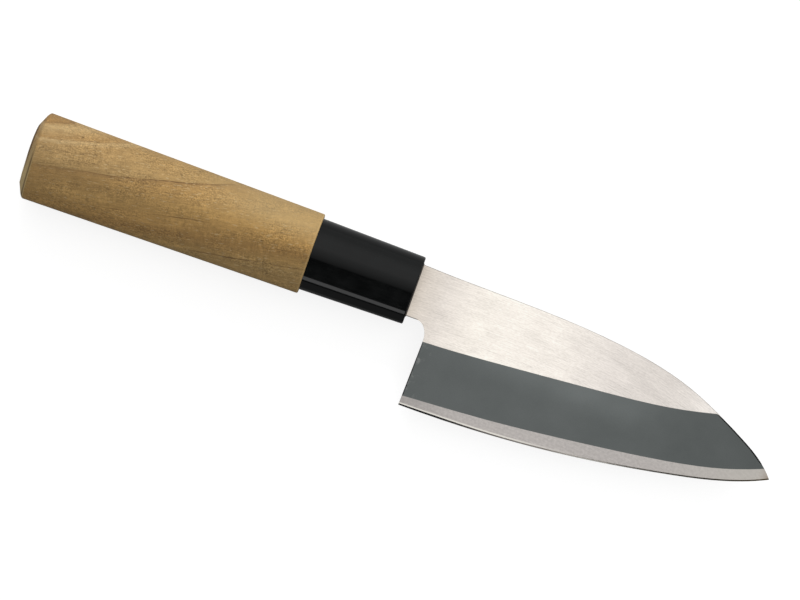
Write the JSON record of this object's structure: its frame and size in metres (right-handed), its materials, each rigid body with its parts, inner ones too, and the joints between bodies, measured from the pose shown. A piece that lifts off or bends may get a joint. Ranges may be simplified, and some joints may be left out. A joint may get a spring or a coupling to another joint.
{
  "type": "deba knife",
  "caption": "Small deba knife: thick single-bevel laminated blade with hollow back, black resin ferrule and a flared wooden handle of chestnut section.",
  "frame": {"origin": "centre of the knife's box seen from above, on its lowest plane, which is the lowest line of the handle as the knife lies on the back of its blade", "axes": "+X from the butt to the tip, +Y from the cutting edge to the spine, +Z out of the bevelled right-hand face"},
  "size_m": [0.2258, 0.0443, 0.0205],
  "materials": {
    "soft_iron": "brushed flat above the shinogi line, matte grey main bevel below it",
    "hard_steel": "satin ground, a little darker than the iron flat",
    "ferrule_resin": "glossy black moulding",
    "handle_wood": "plain sanded light wood, open pores, no lacquer",
    "bedding_resin": "dark set resin"
  },
  "bodies": {
    "root": {"blade_cladding": "soft_iron", "edge_steel": "hard_steel", "ferrule": "ferrule_resin", "handle": "handle_wood", "tang_bedding": "bedding_resin"}
  },
  "joints": []
}
